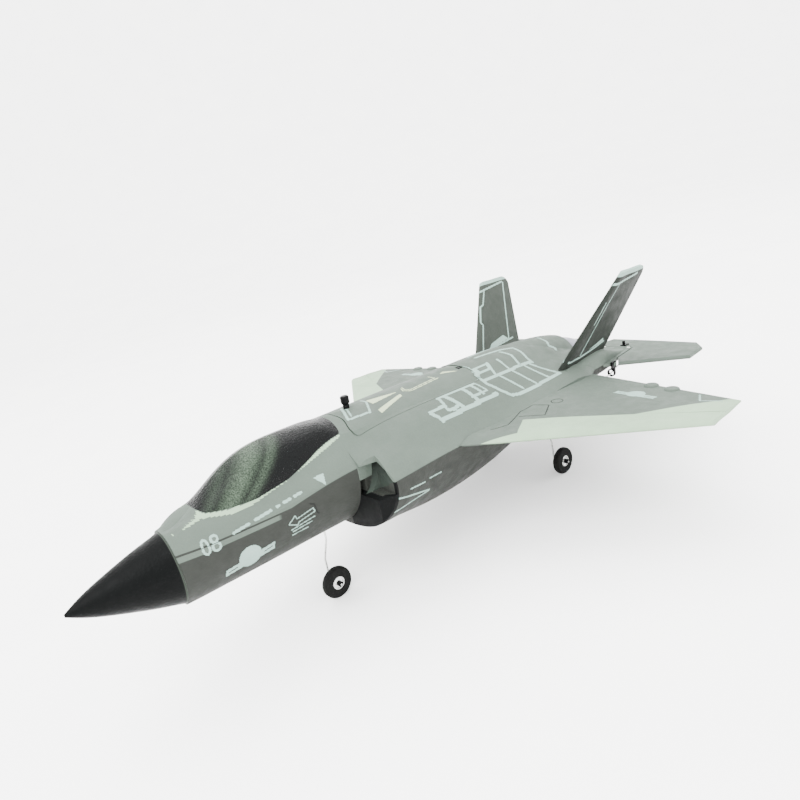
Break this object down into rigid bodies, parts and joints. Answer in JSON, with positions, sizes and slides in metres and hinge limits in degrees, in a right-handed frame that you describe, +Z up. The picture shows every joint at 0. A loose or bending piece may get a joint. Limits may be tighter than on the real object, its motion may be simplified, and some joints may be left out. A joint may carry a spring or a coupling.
{
  "type": "radio-controlled model jet",
  "caption": "Small foam ducted-fan model jet with canted twin fins, opening spine hatch, hinged elevators driven by pushrods, and fixed tricycle wheels.",
  "frame": {"origin": "on the floor under the middle of the overall box; the model stands on its three wheels, nose up by four degrees", "axes": "+Z up, nose towards -Y, tail towards +Y, port wing towards +X"},
  "size_m": [0.311, 0.4302, 0.1276],
  "materials": {
    "foam_upper": "fine foam, painted matt light grey-green",
    "foam_lower": "fine foam, painted matt dark grey",
    "foam_fin": "fine foam, painted matt grey-green",
    "canopy_black": "gloss black over fine foam",
    "nose_black": "satin black over foam",
    "ramp_grey": "matt light grey",
    "lip_black": "matt black",
    "nozzle_grey": "satin blue-grey plastic",
    "black_plastic": "moulded, satin",
    "tyre_black": "foam rubber",
    "hub_silver": "bright plated plastic",
    "steel": "drawn wire",
    "carbon": "carbon rod",
    "white_nylon": "moulded nylon",
    "servo_blue": "translucent case",
    "motor_metal": "turned can",
    "magnet_nickel": "nickel plated",
    "battery_wrap": "shrink sleeve",
    "plywood": "thin plywood",
    "strap_fabric": "hook-and-loop band",
    "board_green": "circuit board with its chips"
  },
  "bodies": {
    "airframe": {"fuselage_upper": "foam_upper", "fuselage_lower": "foam_lower", "canopy": "canopy_black", "nose_cone": "nose_black", "intake_ramp_left": "ramp_grey", "intake_ramp_right": "ramp_grey", "intake_lip_left": "lip_black", "intake_lip_right": "lip_black", "wing_left": "foam_upper", "wing_right": "foam_upper", "wing_spar": "carbon", "fin_left": "foam_fin", "fin_right": "foam_fin", "tailplane_left": "foam_upper", "tailplane_right": "foam_upper", "elevator_hinge_wires": "steel", "elevator_hinge_lugs": "white_nylon", "elevator_servo_left": "servo_blue", "elevator_servo_right": "servo_blue", "pushrod_guide_left": "black_plastic", "pushrod_guide_right": "black_plastic", "fan_duct": "black_plastic", "fan_motor": "motor_metal", "nozzle": "nozzle_grey", "nose_gear_leg": "steel", "main_gear_leg_left": "steel", "main_gear_leg_right": "steel", "gear_sockets": "black_plastic", "axle_collars": "black_plastic", "battery": "battery_wrap", "battery_tray": "plywood", "battery_strap": "strap_fabric", "battery_connector": "black_plastic", "receiver": "board_green", "speed_controller": "battery_wrap", "hatch_hinge_ears": "black_plastic", "hatch_hinge_pin": "steel", "rim_magnets": "magnet_nickel"},
    "hatch": {"hatch": "foam_upper", "hatch_knob": "black_plastic", "hatch_magnets": "magnet_nickel", "hatch_hinge_tab": "black_plastic"},
    "fan": {"fan_rotor": "black_plastic", "fan_spinner": "black_plastic", "fan_shaft": "steel"},
    "nose_wheel": {"nose_tyre": "tyre_black", "nose_hub": "hub_silver"},
    "left_wheel": {"main_tyre_left": "tyre_black", "main_hub_left": "hub_silver"},
    "right_wheel": {"main_tyre_right": "tyre_black", "main_hub_right": "hub_silver"},
    "elevator_left": {"elevator_left": "foam_upper", "elevator_horn_left": "black_plastic"},
    "pushrod_left": {"pushrod_left": "steel", "servo_slider_left": "white_nylon"},
    "elevator_right": {"elevator_right": "foam_upper", "elevator_horn_right": "black_plastic"},
    "pushrod_right": {"pushrod_right": "steel", "servo_slider_right": "white_nylon"}
  },
  "joints": [
    {"name": "nose_wheel_spin", "type": "hinge", "parent": "airframe", "child": "nose_wheel", "pos_m": [0, -0.08905, 0.0095], "axis": [1, 0, 0], "continuous": true},
    {"name": "left_wheel_spin", "type": "hinge", "parent": "airframe", "child": "left_wheel", "pos_m": [0.0382, 0.08778, 0.0095], "axis": [1, 0, 0], "continuous": true},
    {"name": "right_wheel_spin", "type": "hinge", "parent": "airframe", "child": "right_wheel", "pos_m": [-0.0382, 0.08778, 0.0095], "axis": [1, 0, 0], "continuous": true},
    {"name": "fan_spin", "type": "hinge", "parent": "airframe", "child": "fan", "pos_m": [0, 0.09783, 0.06453], "axis": [0, 0.9976, -0.0696], "continuous": true},
    {"name": "hatch_hinge", "type": "hinge", "parent": "airframe", "child": "hatch", "pos_m": [0, 0.03782, 0.09528], "axis": [-1, 0, 0], "range_deg": [0, 70]},
    {"name": "elevator_left_hinge", "type": "hinge", "parent": "airframe", "child": "elevator_left", "pos_m": [0.0265, 0.19203, 0.05696], "axis": [1, 0, 0], "range_deg": [-20, 20]},
    {"name": "pushrod_left_slide", "type": "slide", "parent": "airframe", "child": "pushrod_left", "axis": [0, 0.9976, -0.0696], "range_m": [-0.0029, 0.0029]},
    {"name": "elevator_right_hinge", "type": "hinge", "parent": "airframe", "child": "elevator_right", "pos_m": [-0.0265, 0.19203, 0.05696], "axis": [1, 0, 0], "range_deg": [-20, 20]},
    {"name": "pushrod_right_slide", "type": "slide", "parent": "airframe", "child": "pushrod_right", "axis": [0, 0.9976, -0.0696], "range_m": [-0.0029, 0.0029]}
  ],
  "couplings": [
    {"joint": "pushrod_left_slide", "follows": "elevator_left_hinge", "m_per_rad": 0.00815},
    {"joint": "pushrod_right_slide", "follows": "elevator_right_hinge", "m_per_rad": 0.00815}
  ]
}
